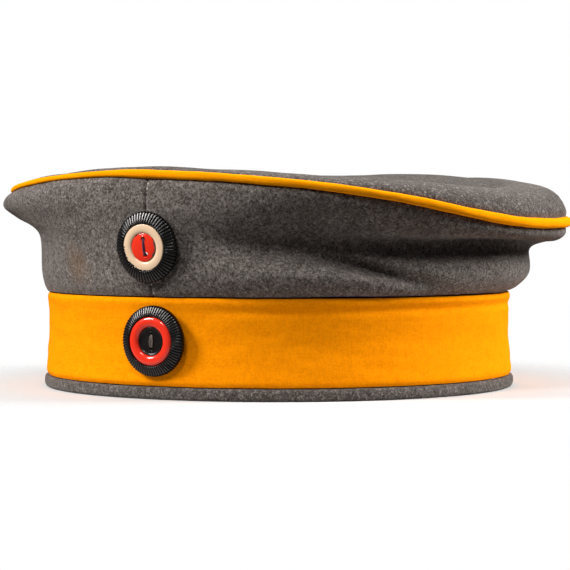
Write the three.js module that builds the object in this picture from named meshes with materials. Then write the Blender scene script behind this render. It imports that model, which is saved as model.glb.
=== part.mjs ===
// A peakless forage cap: a soft grey wool crown with yellow piping, a yellow cloth band, a grey hem
// and two round sewn-on cockades. Millimetres, +Z up. The cap stands on its hem, and its front,
// where the seam and the cockades are, faces -Y.
import * as THREE from 'three';

// Band and hem
const HEAD_RADIUS = 89.0; // bare inside of the band at its waist, a 56 cm head
const BAND_WALL = 2.4;
const BAND_HEIGHT = 32.2;
const BAND_FLARE = 2.0; // how far the band's edges stand out past its waist
const HEM_HEIGHT = 4.4;
const HEM_WALL = 2.8;
const HEM_PROUD = 0.4; // how far the hem stands out past the band

// Crown
const CLOTH_WALL = 2.0;
const CROWN_OVERHANG = 22.0; // reach of the widest part of the crown past the band
const CROWN_RISE = 45.0; // from the band up to the highest piping
const CREST_REACH = 0.86; // the crest and the field of the top, as shares of the rim's radius
const FIELD_REACH = 0.5;
const CENTRE_LIFT = 1.01; // the middle of the top, as a share of CROWN_RISE
const PIPING_RADIUS = 1.6;
const PIPING_SUNK = 0.4; // how deep the piping's middle lies below the cloth
const SEAM_GAP = 0.3; // clearance between pieces that are sewn together

// Cockades
const COCKADE_RADIUS = 12.8;
const COCKADE_RISE = 3.2; // from the cloth to the flat face
const COCKADE_EDGE = 0.9; // thickness of the ribbed rim at its foot
const FACE_RADIUS = 8.4; // outside of the coloured ring
const FACE_LIP = 0.5; // flat of the rim round the ring
const CENTRE_RADIUS = 5.2;
const CENTRE_SUNK = 1.0; // depth of the lower cockade's centre below its ring
const BACK_PLATE = 1.0;
const RIM_TEETH = 54;
const TOOTH_DEPTH = 0.5;
const FIT_GAP = 0.25; // clearance of a ring or centre in its seat
const THREAD_RADIUS = 0.42;
const STITCH_LENGTH = 5.4;
const UPPER_COCKADE_LIFT = 18.6; // middle of the upper cockade above the band
const LOWER_COCKADE_LIFT = 0.8; // middle of the lower cockade above the band's own middle

// Fineness
const TURN_STEPS = 72;
const SIDE_STEPS = 10;
const TOP_STEPS = 8;
const PIPING_SIDES = 6;
const ROUND_STEPS = 36;

// Heights and radii that follow
const BAND_FOOT = HEM_HEIGHT + SEAM_GAP;
const BAND_TOP = BAND_FOOT + BAND_HEIGHT;
const WAIST_RADIUS = HEAD_RADIUS + BAND_WALL;
const CROWN_FOOT = BAND_TOP + SEAM_GAP;

// The band from its foot up: height as a share of BAND_HEIGHT, and how much of BAND_FLARE it has
const BAND_SECTIONS = [
  { up: 0.0, flare: 0.9 },
  { up: 0.18, flare: 0.55 },
  { up: 0.5, flare: 0.05 },
  { up: 0.82, flare: 0.2 },
  { up: 1.0, flare: 0.7 },
];
const NECK_RADIUS = WAIST_RADIUS + BAND_FLARE * BAND_SECTIONS.at(-1).flare;

// The crown's outline every 30 degrees, turning from the front towards the wearer's left.
// Out is a share of CROWN_OVERHANG past the neck, and up a share of CROWN_RISE above the band.
const SECTION_COLUMNS = [
  'swellOut', 'waistOut', 'waistUp', 'underOut', 'underUp', 'lobeOut', 'lobeUp',
  'rimOut', 'rimUp', 'browOut', 'browUp', 'crestUp', 'fieldUp',
];
const SECTIONS = [
  [0.08, 0.13, 0.38, 0.16, 0.55, 0.20, 0.76, 0.13, 0.98, -0.08, 1.04, 1.05, 1.04],
  [0.16, 0.15, 0.38, 0.24, 0.55, 0.38, 0.74, 0.35, 0.92, 0.18, 0.98, 1.01, 0.99],
  [0.22, 0.25, 0.39, 0.47, 0.52, 0.71, 0.62, 0.73, 0.74, 0.60, 0.87, 0.95, 0.94],
  [0.26, 0.32, 0.40, 0.65, 0.49, 0.92, 0.53, 0.95, 0.61, 0.83, 0.81, 0.93, 0.92],
  [0.28, 0.36, 0.36, 0.65, 0.45, 0.95, 0.51, 1.00, 0.62, 0.83, 0.86, 0.98, 0.95],
  [0.24, 0.30, 0.40, 0.60, 0.50, 0.89, 0.59, 0.93, 0.72, 0.79, 0.91, 1.05, 1.00],
  [0.17, 0.24, 0.45, 0.51, 0.57, 0.82, 0.69, 0.83, 0.83, 0.66, 1.00, 1.10, 1.05],
  [0.12, 0.19, 0.49, 0.46, 0.62, 0.78, 0.77, 0.75, 0.92, 0.55, 1.05, 1.11, 1.07],
  [0.09, 0.17, 0.51, 0.46, 0.65, 0.77, 0.80, 0.68, 0.95, 0.46, 1.06, 1.11, 1.07],
  [0.07, 0.15, 0.52, 0.48, 0.65, 0.78, 0.80, 0.65, 0.94, 0.44, 1.02, 1.07, 1.05],
  [0.07, 0.15, 0.53, 0.49, 0.66, 0.78, 0.80, 0.62, 0.91, 0.39, 0.97, 1.03, 1.03],
  [0.07, 0.14, 0.46, 0.28, 0.61, 0.45, 0.80, 0.35, 0.97, 0.12, 1.03, 1.06, 1.04],
];
const SWELL_LIFT = 0.16; // height of the swell above the band, as a share of CROWN_RISE

// Dents pressed into the crown's side: where the middle is, how wide and tall the dent is, how its
// middle climbs with the angle, and how deep it goes as a share of CROWN_OVERHANG.
const FOLDS = [
  { angle: 34, up: 0.38, wide: 14, tall: 0.085, climb: -0.001, deep: 0.17 },
  { angle: 50, up: 0.24, wide: 8, tall: 0.05, climb: -0.006, deep: 0.09 },
  { angle: 76, up: 0.46, wide: 15, tall: 0.06, climb: 0.0, deep: 0.12 },
];

const RIM_INDEX = 5; // the rim's place among the outline's points
const OUTLINE_POINTS = 10;
const LENGTH_DIVISIONS = (OUTLINE_POINTS - 1) * 30;

/** One column of SECTIONS at any angle in degrees, smooth all the way round. */
function columnAt(name, angle) {
  const column = SECTION_COLUMNS.indexOf(name);
  const count = SECTIONS.length;
  const place = ((angle / 360) * count + 10 * count) % count;
  const row = Math.floor(place);
  const [before, from, to, after] = [-1, 0, 1, 2].map(
    (step) => SECTIONS[(row + step + count) % count][column],
  );
  const t = place - row;
  const slopeFrom = (to - before) / 2;
  const slopeTo = (after - from) / 2;
  return (
    (2 * t ** 3 - 3 * t ** 2 + 1) * from +
    (t ** 3 - 2 * t ** 2 + t) * slopeFrom +
    (-2 * t ** 3 + 3 * t ** 2) * to +
    (t ** 3 - t ** 2) * slopeTo
  );
}

/** How far the folds press the side in, at an angle in degrees and a height share. */
function foldDepth(angle, up) {
  return FOLDS.reduce((sum, fold) => {
    const aside = ((((angle - fold.angle) % 360) + 540) % 360) - 180;
    const middle = fold.up + fold.climb * aside;
    const away = (aside / fold.wide) ** 2 + ((up - middle) / fold.tall) ** 2;
    return sum + fold.deep * CROWN_OVERHANG * Math.exp(-away / 2);
  }, 0);
}

/** The crown's outline at one angle: a curve of radius (x) and height (z), from neck to middle. */
function crownOutline(angle) {
  const at = (name) => columnAt(name, angle);
  const point = (out, up) =>
    new THREE.Vector3(NECK_RADIUS + out * CROWN_OVERHANG, 0, BAND_TOP + up * CROWN_RISE);
  const rim = point(at('rimOut'), at('rimUp'));
  const inward = (share, up) => new THREE.Vector3(rim.x * share, 0, BAND_TOP + up * CROWN_RISE);
  const neck = new THREE.Vector3(NECK_RADIUS, 0, CROWN_FOOT);
  return new THREE.CatmullRomCurve3(
    [
      neck,
      point(at('swellOut'), SWELL_LIFT),
      point(at('waistOut'), at('waistUp')),
      point(at('underOut'), at('underUp')),
      point(at('lobeOut'), at('lobeUp')),
      rim,
      point(at('browOut'), at('browUp')),
      inward(CREST_REACH, at('crestUp')),
      inward(FIELD_REACH, at('fieldUp')),
      inward(0, CENTRE_LIFT),
    ],
    false,
    'centripetal',
  );
}

/** Where the outline stands a given length before or after the rim, as a curve parameter. */
function besideRim(outline, offset) {
  const lengths = outline.getLengths(LENGTH_DIVISIONS);
  const rimLength = lengths[RIM_INDEX * 30];
  outline.arcLengthDivisions = LENGTH_DIVISIONS;
  return outline.getUtoTmapping((rimLength + offset) / lengths.at(-1));
}

/** Radius, height and outward normal of the cloth's face at one place of the outline. */
function clothPoint(outline, t, angle) {
  const point = outline.getPoint(t);
  const along = outline.getTangent(t);
  const up = (point.z - BAND_TOP) / CROWN_RISE;
  const sidePart = t < RIM_INDEX / (OUTLINE_POINTS - 1) ? 1 : 0;
  return {
    r: point.x - sidePart * foldDepth(angle, up),
    z: point.z,
    normal: { r: along.z, z: -along.x },
  };
}

/** The face's points between two parameters, and the same number of points one wall inside it. */
function wallRows(outline, angle, from, to, steps) {
  const face = [];
  for (let i = 0; i <= steps; i += 1) {
    face.push(clothPoint(outline, from + ((to - from) * i) / steps, angle));
  }
  const inside = face.map(({ r, z, normal }) => ({
    r: r - normal.r * CLOTH_WALL,
    z: z - normal.z * CLOTH_WALL,
  }));
  return { face, inside };
}

/** A place at an angle in degrees, measured from the front (-Y) towards +X. */
function around(angle, r, z) {
  const turn = THREE.MathUtils.degToRad(angle);
  return [r * Math.sin(turn), -r * Math.cos(turn), z];
}

/** A geometry whose triangles face out, whichever way round they were listed. */
function closedGeometry(positions, indices) {
  const corner = (index) => new THREE.Vector3().fromArray(positions, index * 3);
  let volume = 0;
  for (let i = 0; i < indices.length; i += 3) {
    const [a, b, c] = [corner(indices[i]), corner(indices[i + 1]), corner(indices[i + 2])];
    volume += a.dot(b.cross(c));
  }
  const facing = volume < 0 ? [...indices].reverse() : indices;
  const geometry = new THREE.BufferGeometry();
  geometry.setAttribute('position', new THREE.Float32BufferAttribute(positions, 3));
  geometry.setIndex(facing);
  geometry.computeVertexNormals();
  return geometry;
}

/** A whole ring whose cross-section is a closed loop of { r, z } that may change with the angle. */
function ringGeometry(steps, loopAt) {
  const positions = [];
  const indices = [];
  let size = 0;
  for (let i = 0; i < steps; i += 1) {
    const angle = (360 * i) / steps;
    const loop = loopAt(angle, i);
    size = loop.length;
    loop.forEach(({ r, z }) => positions.push(...around(angle, r, z)));
  }
  for (let i = 0; i < steps; i += 1) {
    const here = i * size;
    const next = ((i + 1) % steps) * size;
    for (let j = 0; j < size; j += 1) {
      const k = (j + 1) % size;
      indices.push(here + j, next + j, next + k, here + j, next + k, here + k);
    }
  }
  return closedGeometry(positions, indices);
}

/** A round body whose cross-section starts and ends on the axis; the first and last points close it. */
function discGeometry(steps, sectionAt) {
  const positions = [];
  const indices = [];
  let size = 0;
  let ends = [];
  for (let i = 0; i < steps; i += 1) {
    const angle = (360 * i) / steps;
    const section = sectionAt(angle, i);
    ends = [section[0], section.at(-1)];
    const open = section.slice(1, -1);
    size = open.length;
    open.forEach(({ r, z }) => positions.push(...around(angle, r, z)));
  }
  const first = positions.length / 3;
  ends.forEach(({ z }) => positions.push(0, 0, z));
  for (let i = 0; i < steps; i += 1) {
    const here = i * size;
    const next = ((i + 1) % steps) * size;
    for (let j = 0; j < size - 1; j += 1) {
      indices.push(here + j, next + j, next + j + 1, here + j, next + j + 1, here + j + 1);
    }
    indices.push(first, next, here);
    indices.push(first + 1, here + size - 1, next + size - 1);
  }
  return closedGeometry(positions, indices);
}

/** Half of the crown's side, from the front seam to the back seam. side is 1 for the +X half. */
function crownSideGeometry(side) {
  const columns = TURN_STEPS / 2;
  const size = 2 * (SIDE_STEPS + 1);
  const positions = [];
  const indices = [];
  for (let i = 0; i <= columns; i += 1) {
    const angle = (side * 180 * i) / columns;
    const outline = crownOutline(angle);
    const end = besideRim(outline, -(PIPING_RADIUS + SEAM_GAP));
    const { face, inside } = wallRows(outline, angle, 0, end, SIDE_STEPS);
    const atSeam = i === 0 || i === columns;
    [...face, ...inside.reverse()].forEach(({ r, z }) => {
      const [x, y] = around(angle, r, z);
      positions.push(atSeam ? (side * SEAM_GAP) / 2 : x, y, z);
    });
  }
  for (let i = 0; i < columns; i += 1) {
    for (let j = 0; j < size; j += 1) {
      const k = (j + 1) % size;
      const [a, b] = [i * size, (i + 1) * size];
      indices.push(a + j, b + j, b + k, a + j, b + k, a + k);
    }
  }
  for (let j = 0; j < SIDE_STEPS; j += 1) {
    const [outer, inner] = [j, size - 1 - j];
    indices.push(outer, outer + 1, inner - 1, outer, inner - 1, inner);
    const far = columns * size;
    indices.push(far + outer, far + inner - 1, far + outer + 1);
    indices.push(far + outer, far + inner, far + inner - 1);
  }
  return closedGeometry(positions, indices);
}

/** The crown's round top, from just above the piping to the middle. */
function crownTopGeometry() {
  return discGeometry(TURN_STEPS, (angle) => {
    const outline = crownOutline(angle);
    const start = besideRim(outline, PIPING_RADIUS + SEAM_GAP);
    const { face, inside } = wallRows(outline, angle, start, 1, TOP_STEPS);
    return [...inside.reverse(), ...face];
  });
}

/** The piping: a round cord in the seam between the crown's side and its top. */
function pipingGeometry() {
  return ringGeometry(TURN_STEPS, (angle) => {
    const rim = clothPoint(crownOutline(angle), RIM_INDEX / (OUTLINE_POINTS - 1), angle);
    const loop = [];
    for (let i = 0; i < PIPING_SIDES; i += 1) {
      const turn = (2 * Math.PI * i) / PIPING_SIDES;
      loop.push({
        r: rim.r - rim.normal.r * PIPING_SUNK + PIPING_RADIUS * Math.cos(turn),
        z: rim.z - rim.normal.z * PIPING_SUNK + PIPING_RADIUS * Math.sin(turn),
      });
    }
    return loop;
  });
}

/** The band: a wall that stands out at its foot and its top and is drawn in between. */
function bandGeometry() {
  const face = BAND_SECTIONS.map(({ up, flare }) => ({
    r: WAIST_RADIUS + BAND_FLARE * flare,
    z: BAND_FOOT + BAND_HEIGHT * up,
  }));
  const inside = [face[4], face[2], face[0]].map(({ r, z }) => ({ r: r - BAND_WALL, z }));
  return ringGeometry(TURN_STEPS, () => [...face, ...inside]);
}

/** The hem: a narrow rounded strip with a flat foot that the cap stands on. */
function hemGeometry() {
  const outside = WAIST_RADIUS + BAND_FLARE * BAND_SECTIONS[0].flare + HEM_PROUD;
  const inside = outside - HEM_WALL;
  const round = HEM_WALL / 4;
  return ringGeometry(TURN_STEPS, () => [
    { r: inside, z: 0 },
    { r: outside - round, z: 0 },
    { r: outside, z: round },
    { r: outside, z: HEM_HEIGHT - round },
    { r: outside - round, z: HEM_HEIGHT },
    { r: inside, z: HEM_HEIGHT },
  ]);
}

/** The ribbed rim of a cockade with the back plate that carries its ring and centre. */
function rimGeometry() {
  const seat = FACE_RADIUS + FIT_GAP;
  return discGeometry(2 * RIM_TEETH, (angle, step) => {
    const outer = COCKADE_RADIUS - (step % 2) * TOOTH_DEPTH;
    return [
      { r: 0, z: 0 },
      { r: outer, z: 0 },
      { r: outer, z: COCKADE_EDGE },
      { r: seat + FACE_LIP, z: COCKADE_RISE },
      { r: seat, z: BACK_PLATE },
      { r: 0, z: BACK_PLATE },
    ];
  });
}

/** The coloured ring of a cockade: its face is flat or rounded. */
function faceRingGeometry(rounded) {
  const [inner, outer] = [CENTRE_RADIUS + FIT_GAP, FACE_RADIUS];
  const foot = BACK_PLATE + SEAM_GAP;
  const shoulder = rounded ? COCKADE_RISE - 0.3 * (outer - inner) : COCKADE_RISE;
  const middle = (inner + outer) / 2;
  return ringGeometry(ROUND_STEPS, () => [
    { r: inner, z: foot },
    { r: outer, z: foot },
    { r: outer, z: shoulder },
    ...(rounded ? [{ r: middle, z: COCKADE_RISE + 0.1 * (outer - inner) }] : []),
    { r: inner, z: shoulder },
  ]);
}

/** The round centre of a cockade, from its foot on the back plate to its face. */
function centreGeometry(faceHeight, domed) {
  const foot = BACK_PLATE + SEAM_GAP;
  const middle = faceHeight + (domed ? 0.06 : -0.06) * CENTRE_RADIUS;
  return discGeometry(ROUND_STEPS, () => [
    { r: 0, z: foot },
    { r: CENTRE_RADIUS, z: foot },
    { r: CENTRE_RADIUS, z: faceHeight },
    { r: CENTRE_RADIUS * 0.6, z: middle },
    { r: 0, z: middle },
  ]);
}

/** The stitch that shows on a cockade's centre: a short upright cord with round ends. */
function stitchGeometry(faceHeight) {
  const straight = STITCH_LENGTH - 2 * THREAD_RADIUS;
  const stitch = new THREE.CapsuleGeometry(THREAD_RADIUS, straight, 2, 8);
  stitch.translate(0, 0, faceHeight + SEAM_GAP + THREAD_RADIUS);
  return stitch;
}

/** A finish with the colour, roughness and metalness of one material. */
function finish(color, roughness) {
  return new THREE.MeshStandardMaterial({ color, roughness, metalness: 0 });
}

const greyWool = () => finish(0x78716c, 0.95);
const yellowCloth = () => finish(0xf09a06, 0.9);
const blackLacquer = () => finish(0x121113, 0.25);
const redLacquer = () => finish(0xd8241a, 0.25);
const creamLacquer = () => finish(0xe3c9a0, 0.4);
const darkThread = () => finish(0x2a1e2c, 0.85);
const greyThread = () => finish(0x5a5048, 0.85);

/** A named mesh. */
function piece(name, geometry, material) {
  const mesh = new THREE.Mesh(geometry, material);
  mesh.name = name;
  return mesh;
}

const cap = new THREE.Group();
const band = piece('band', bandGeometry(), yellowCloth());
const sideLeft = piece('crown_side_left', crownSideGeometry(1), greyWool());
const sideRight = piece('crown_side_right', crownSideGeometry(-1), greyWool());
cap.add(
  piece('hem', hemGeometry(), greyWool()),
  band,
  sideLeft,
  sideRight,
  piece('piping', pipingGeometry(), yellowCloth()),
  piece('crown_top', crownTopGeometry(), greyWool()),
);

/** The outer face of the given walls at the front, as places inside a cockade's footprint. */
function frontPlaces(walls, height) {
  const places = [];
  walls.forEach((wall) => {
    const position = wall.geometry.getAttribute('position');
    for (let i = 0; i < position.count; i += 1) {
      const place = new THREE.Vector3().fromBufferAttribute(position, i);
      const aside = Math.hypot(place.x, place.z - height);
      if (place.y < 0 && aside < COCKADE_RADIUS * 1.3) {
        places.push(place);
      }
    }
  });
  return places;
}

/** Turns and places a cockade so that its back lies one clearance off the cloth behind it. */
function seatCockade(cockade, walls, height) {
  const places = frontPlaces(walls, height);
  const reach = (heightShare) => {
    const level = height + heightShare * COCKADE_RADIUS;
    const near = places.filter((place) => Math.abs(place.z - level) < COCKADE_RADIUS * 0.45);
    return Math.max(...near.map((place) => -place.y));
  };
  const lean = Math.atan2(reach(0.8) - reach(-0.8), 1.6 * COCKADE_RADIUS);
  const axis = new THREE.Vector3(0, -Math.cos(lean), -Math.sin(lean));
  const start = new THREE.Vector3(0, -HEAD_RADIUS, height);
  const offset = Math.max(...places.map((place) => place.clone().sub(start).dot(axis)));
  cockade.position.set(0, 0, Math.tan(lean) * (reach(0) - HEAD_RADIUS));
  cockade.position.add(start).addScaledVector(axis, offset + SEAM_GAP);
  cockade.rotation.x = Math.PI / 2 + lean;
}

/** One cockade: a black ribbed rim, a coloured ring, a centre and the stitch that holds it. */
function cockade(name, { rounded, ring, centre, centreHeight, thread }) {
  const group = new THREE.Group();
  group.add(
    piece(`${name}_rim`, rimGeometry(), blackLacquer()),
    piece(`${name}_ring`, faceRingGeometry(rounded), ring),
    piece(`${name}_centre`, centreGeometry(centreHeight, !rounded), centre),
    piece(`${name}_stitch`, stitchGeometry(centreHeight + 0.06 * CENTRE_RADIUS), thread),
  );
  return group;
}

const upperCockade = cockade('upper_cockade', {
  rounded: false,
  ring: creamLacquer(),
  centre: redLacquer(),
  centreHeight: COCKADE_RISE,
  thread: darkThread(),
});
const lowerCockade = cockade('lower_cockade', {
  rounded: true,
  ring: redLacquer(),
  centre: blackLacquer(),
  centreHeight: COCKADE_RISE - CENTRE_SUNK,
  thread: greyThread(),
});
seatCockade(upperCockade, [sideLeft, sideRight], BAND_TOP + UPPER_COCKADE_LIFT);
seatCockade(lowerCockade, [band], BAND_FOOT + BAND_HEIGHT / 2 + LOWER_COCKADE_LIFT);
cap.add(upperCockade, lowerCockade);

// The origin is under the middle of the cap's own box, so the hem's foot is at z = 0
const box = new THREE.Box3().setFromObject(cap);
const middle = box.getCenter(new THREE.Vector3());
cap.position.set(-middle.x, -middle.y, -box.min.z);

export default cap;
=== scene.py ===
"""A peakless forage cap of grey wool with a yellow band, yellow piping and two round cockades.

Metres, +Z up. The cap stands on its hem, its front faces -Y, and every piece is built round the
band's own middle, which comes from the frame.
"""

import logging
import math
from contextlib import contextmanager
from dataclasses import dataclass, field
from enum import Enum
from typing import Callable, Iterator, Sequence

import bmesh
import bpy
import numpy as np
from mathutils import Matrix, Vector, kdtree, noise


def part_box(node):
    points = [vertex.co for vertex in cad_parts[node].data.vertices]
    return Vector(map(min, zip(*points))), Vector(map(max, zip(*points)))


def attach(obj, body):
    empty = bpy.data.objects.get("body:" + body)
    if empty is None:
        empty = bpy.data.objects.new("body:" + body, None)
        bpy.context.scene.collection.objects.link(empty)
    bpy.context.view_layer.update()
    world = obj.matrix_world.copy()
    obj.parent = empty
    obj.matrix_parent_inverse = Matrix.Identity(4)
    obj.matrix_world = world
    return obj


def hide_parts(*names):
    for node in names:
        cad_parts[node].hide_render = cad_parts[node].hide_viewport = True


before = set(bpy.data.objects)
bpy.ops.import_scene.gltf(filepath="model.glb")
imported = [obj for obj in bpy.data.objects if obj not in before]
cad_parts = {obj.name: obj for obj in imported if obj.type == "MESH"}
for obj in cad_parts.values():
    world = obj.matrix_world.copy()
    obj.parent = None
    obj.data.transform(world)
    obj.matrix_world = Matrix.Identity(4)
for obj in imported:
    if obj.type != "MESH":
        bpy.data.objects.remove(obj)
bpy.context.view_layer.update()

LOG = logging.getLogger("forage_cap")
MM = 0.001
EDGE_ROUNDING = 0.7 * MM
JOINED = 1e-6


class Ending(Enum):
    """How a raised wall is finished after its last ring."""

    OPEN = "open"
    LOOP = "loop"


# Shader maths


class Wire:
    """One socket's value, so that shader maths can be written as Python expressions."""

    def __init__(self, recipe: "Recipe", socket: bpy.types.NodeSocket) -> None:
        """Keeps the output socket that gives the value, and the recipe that adds nodes."""
        self.recipe = recipe
        self.socket = socket

    def __add__(self, other: "Wire | float") -> "Wire":
        """Adds."""
        return self.recipe.math("ADD", self, other)

    __radd__ = __add__

    def __sub__(self, other: "Wire | float") -> "Wire":
        """Takes away."""
        return self.recipe.math("SUBTRACT", self, other)

    def __rsub__(self, other: "Wire | float") -> "Wire":
        """Takes this from the other."""
        return self.recipe.math("SUBTRACT", other, self)

    def __mul__(self, other: "Wire | float") -> "Wire":
        """Multiplies."""
        return self.recipe.math("MULTIPLY", self, other)

    __rmul__ = __mul__

    def over(self, low: float, high: float) -> "Wire":
        """A smooth step from 0 at low to 1 at high, which may be the lower of the two."""
        inputs = {"Value": self, "From Min": low, "From Max": high, "To Min": 0.0, "To Max": 1.0}
        return self.recipe.node(
            "ShaderNodeMapRange", {"interpolation_type": "SMOOTHSTEP"}, inputs)["Result"]


class Recipe:
    """A material's node tree, built from short calls."""

    def __init__(self, name: str) -> None:
        """Starts an empty material.

        Args:
            name: The material's name.
        """
        self.material = bpy.data.materials.new(name)
        self.material.use_nodes = True
        self.tree = self.material.node_tree
        self.tree.nodes.clear()

    def node(self, kind: str, settings: dict, inputs: dict) -> "Outputs":
        """Adds one node.

        Args:
            kind: The node's type.
            settings: Its properties, set before its sockets.
            inputs: Its sockets' values or wires, by name or number.

        Returns:
            The node's outputs.
        """
        made = self.tree.nodes.new(kind)
        for key, value in settings.items():
            setattr(made, key, value)
        for key, value in inputs.items():
            socket = made.inputs[key]
            if isinstance(value, Wire):
                self.tree.links.new(value.socket, socket)
            else:
                socket.default_value = value
        return Outputs(self, made)

    def math(self, operation: str, *values: "Wire | float") -> Wire:
        """The result of a Math node."""
        return self.node("ShaderNodeMath", {"operation": operation}, dict(enumerate(values)))[0]

    def vector(self, operation: str, *values: object, out: str = "Vector") -> Wire:
        """One output of a Vector Math node."""
        inputs = dict(enumerate(values))
        return self.node("ShaderNodeVectorMath", {"operation": operation}, inputs)[out]

    def blend(self, share: "Wire | float", first: object, second: object, how: str = "MIX") -> Wire:
        """Mixes two colours.

        Args:
            share: How much of the second colour there is.
            first: The first colour or wire.
            second: The second colour or wire.
            how: The way of mixing.

        Returns:
            The mixed colour.
        """
        settings = {"data_type": "RGBA", "blend_type": how, "clamp_factor": True}
        inputs = {0: share, 6: paint(first), 7: paint(second)}
        return self.node("ShaderNodeMix", settings, inputs)[2]

    def place(self) -> Wire:
        """The piece's own Object coordinates, in metres."""
        return self.node("ShaderNodeTexCoord", {}, {})["Object"]

    def own(self, name: str) -> Wire:
        """A vector attribute that the piece carries."""
        settings = {"attribute_type": "GEOMETRY", "attribute_name": name}
        return self.node("ShaderNodeAttribute", settings, {})["Vector"]

    def stretched(self, place: Wire, scale: tuple, turn: tuple = (0.0, 0.0, 0.0)) -> Wire:
        """Coordinates turned and then stretched, for a pattern with a direction."""
        inputs = {"Vector": place, "Rotation": turn, "Scale": scale}
        return self.node("ShaderNodeMapping", {"vector_type": "POINT"}, inputs)["Vector"]

    def grain(self, place: Wire, scale: float, detail: float = 2.0, rough: float = 0.5,
              warp: float = 0.0) -> Wire:
        """A noise value from about 0 to 1.

        Args:
            place: The coordinates.
            scale: How many grains there are to a metre.
            detail: How many finer layers it has.
            rough: How strong the finer layers are.
            warp: How much it is distorted.

        Returns:
            The noise.
        """
        inputs = {"Vector": place, "Scale": scale, "Detail": detail, "Roughness": rough,
                  "Distortion": warp}
        return self.node("ShaderNodeTexNoise", {}, inputs)["Fac"]

    def relief(self, height: Wire, depth: float, strength: float) -> Wire:
        """A bumped normal from a height of about 0 to 1, where 1 stands a depth above 0."""
        inputs = {"Height": height, "Distance": depth, "Strength": strength}
        return self.node("ShaderNodeBump", {}, inputs)["Normal"]

    def finish(self, inputs: dict) -> bpy.types.Material:
        """Ends the tree with a Principled surface.

        Args:
            inputs: The surface's sockets.

        Returns:
            The finished material.
        """
        surface = self.node("ShaderNodeBsdfPrincipled", {}, inputs)["BSDF"]
        self.node("ShaderNodeOutputMaterial", {}, {"Surface": surface})
        return self.material


class Outputs:
    """A node's outputs, read by name or number as wires."""

    def __init__(self, recipe: Recipe, made: bpy.types.Node) -> None:
        """Keeps the node."""
        self.recipe = recipe
        self.made = made

    def __getitem__(self, key: str | int) -> Wire:
        """One output."""
        return Wire(self.recipe, self.made.outputs[key])


def paint(colour: object) -> object:
    """A colour with its alpha, or a wire as it is."""
    return (*colour, 1.0) if isinstance(colour, tuple) and len(colour) == 3 else colour


# Finishes


@dataclass(frozen=True)
class WoolFinish:
    """Felted grey wool, flecked with lighter and darker fibres."""

    name: str = "grey_wool"
    shade: tuple = (0.034, 0.029, 0.026)
    body: tuple = (0.166, 0.142, 0.128)
    fleck: tuple = (0.40, 0.36, 0.33)
    stitch: tuple = (0.55, 0.50, 0.43)
    stain: tuple = (0.15, 0.085, 0.042)
    fine_scale: float = 1700.0
    clump_scale: float = 850.0
    tuft_scale: float = 270.0
    drift_scale: float = 60.0
    nap_depth: float = 0.6 * MM
    middle: tuple = (0.0, 0.0, 0.0)
    # Painted shade: the field darkening of the crown top stands in for shade behind the ridge, not
    # a tone of the cloth.
    painted_field_shade: float = 0.0
    painted_field_edge: tuple = (95 * MM, 88 * MM)
    stitch_side: float = 0.0
    stitch_pitch: float = 1.9 * MM
    stain_spot: tuple | None = None
    stain_reach: float = 11.8 * MM

    def make(self) -> bpy.types.Material:
        """Builds the material.

        Returns:
            The material.
        """
        r = Recipe(self.name)
        place = r.place()
        nap = fibre_field(r, place)
        fine = r.grain(place, self.fine_scale, 2.0, 0.65)
        clumps = r.grain(place, self.clump_scale, 3.0, 0.7, 0.7)
        drift = r.grain(place, self.drift_scale, 3.0, 0.6)
        tufts = r.grain(place, self.tuft_scale, 2.0, 0.6)
        pepper = fine * 0.4 + clumps * 0.6
        colour = r.blend(pepper.over(0.54, 0.40) * 0.85, self.body, self.shade)
        colour = r.blend(pepper.over(0.52, 0.65) * 0.58, colour, self.fleck)
        colour = r.blend(nap.over(0.62, 0.8) * 0.3, colour, self.fleck)
        colour = r.blend(tufts.over(0.58, 0.38) * 0.6, colour, (0.62, 0.6, 0.58), "MULTIPLY")
        colour = r.blend(drift.over(0.3, 0.7) * 0.22, colour, (0.7, 0.68, 0.66), "MULTIPLY")
        # Painted shade: the crown top's field inside a radius round the cap's middle is darkened,
        # standing in for the shade behind the ridge.
        if self.painted_field_shade:
            flat = r.vector("MULTIPLY", r.vector("SUBTRACT", place, self.middle), (1.0, 1.0, 0.0))
            inside = r.vector("LENGTH", flat, out="Value").over(*self.painted_field_edge)
            colour = r.blend(inside * self.painted_field_shade, colour, (0.3, 0.3, 0.3), "MULTIPLY")
        if self.stitch_side:
            colour = r.blend(self._stitches(r, place), colour, self.stitch)
        if self.stain_spot:
            away = r.vector("DISTANCE", place, self.stain_spot, out="Value")
            ragged = away + (drift - 0.5) * (12 * MM) + (clumps - 0.5) * (8 * MM)
            blot = ragged.over(self.stain_reach, 1 * MM)
            colour = r.blend(blot * 0.52, colour, self.stain)
        height = clumps * 0.5 + fine * 0.35 + nap * 0.5
        normal = r.relief(height, self.nap_depth, 0.9)
        return r.finish({
            "Base Color": colour, "Roughness": 0.95, "Normal": normal,
            "Specular IOR Level": 0.1, "Sheen Weight": 0.12, "Sheen Roughness": 0.5,
            "Sheen Tint": (0.9, 0.82, 0.76, 1.0),
        })

    def _stitches(self, r: Recipe, place: Wire) -> Wire:
        """Pale stitches beside the front seam, near its two ends.

        Args:
            r: The recipe that adds the nodes.
            place: The piece's coordinates.

        Returns:
            The share of the stitches' colour.
        """
        parts = r.node("ShaderNodeSeparateXYZ", {}, {0: place})
        aside = (parts["X"] - self.middle[0]) * self.stitch_side
        beside = aside.over(0.1 * MM, 0.4 * MM) * aside.over(1.2 * MM, 0.8 * MM)
        height = parts["Z"]
        beat = r.math("SINE", height * (math.tau / self.stitch_pitch)).over(0.35, 0.75)
        upper = height.over(74.5 * MM, 75.5 * MM) * height.over(81.2 * MM, 80.6 * MM)
        lower = height.over(39.5 * MM, 38.5 * MM)
        return beside * beat * (upper + lower) * 0.8


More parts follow.
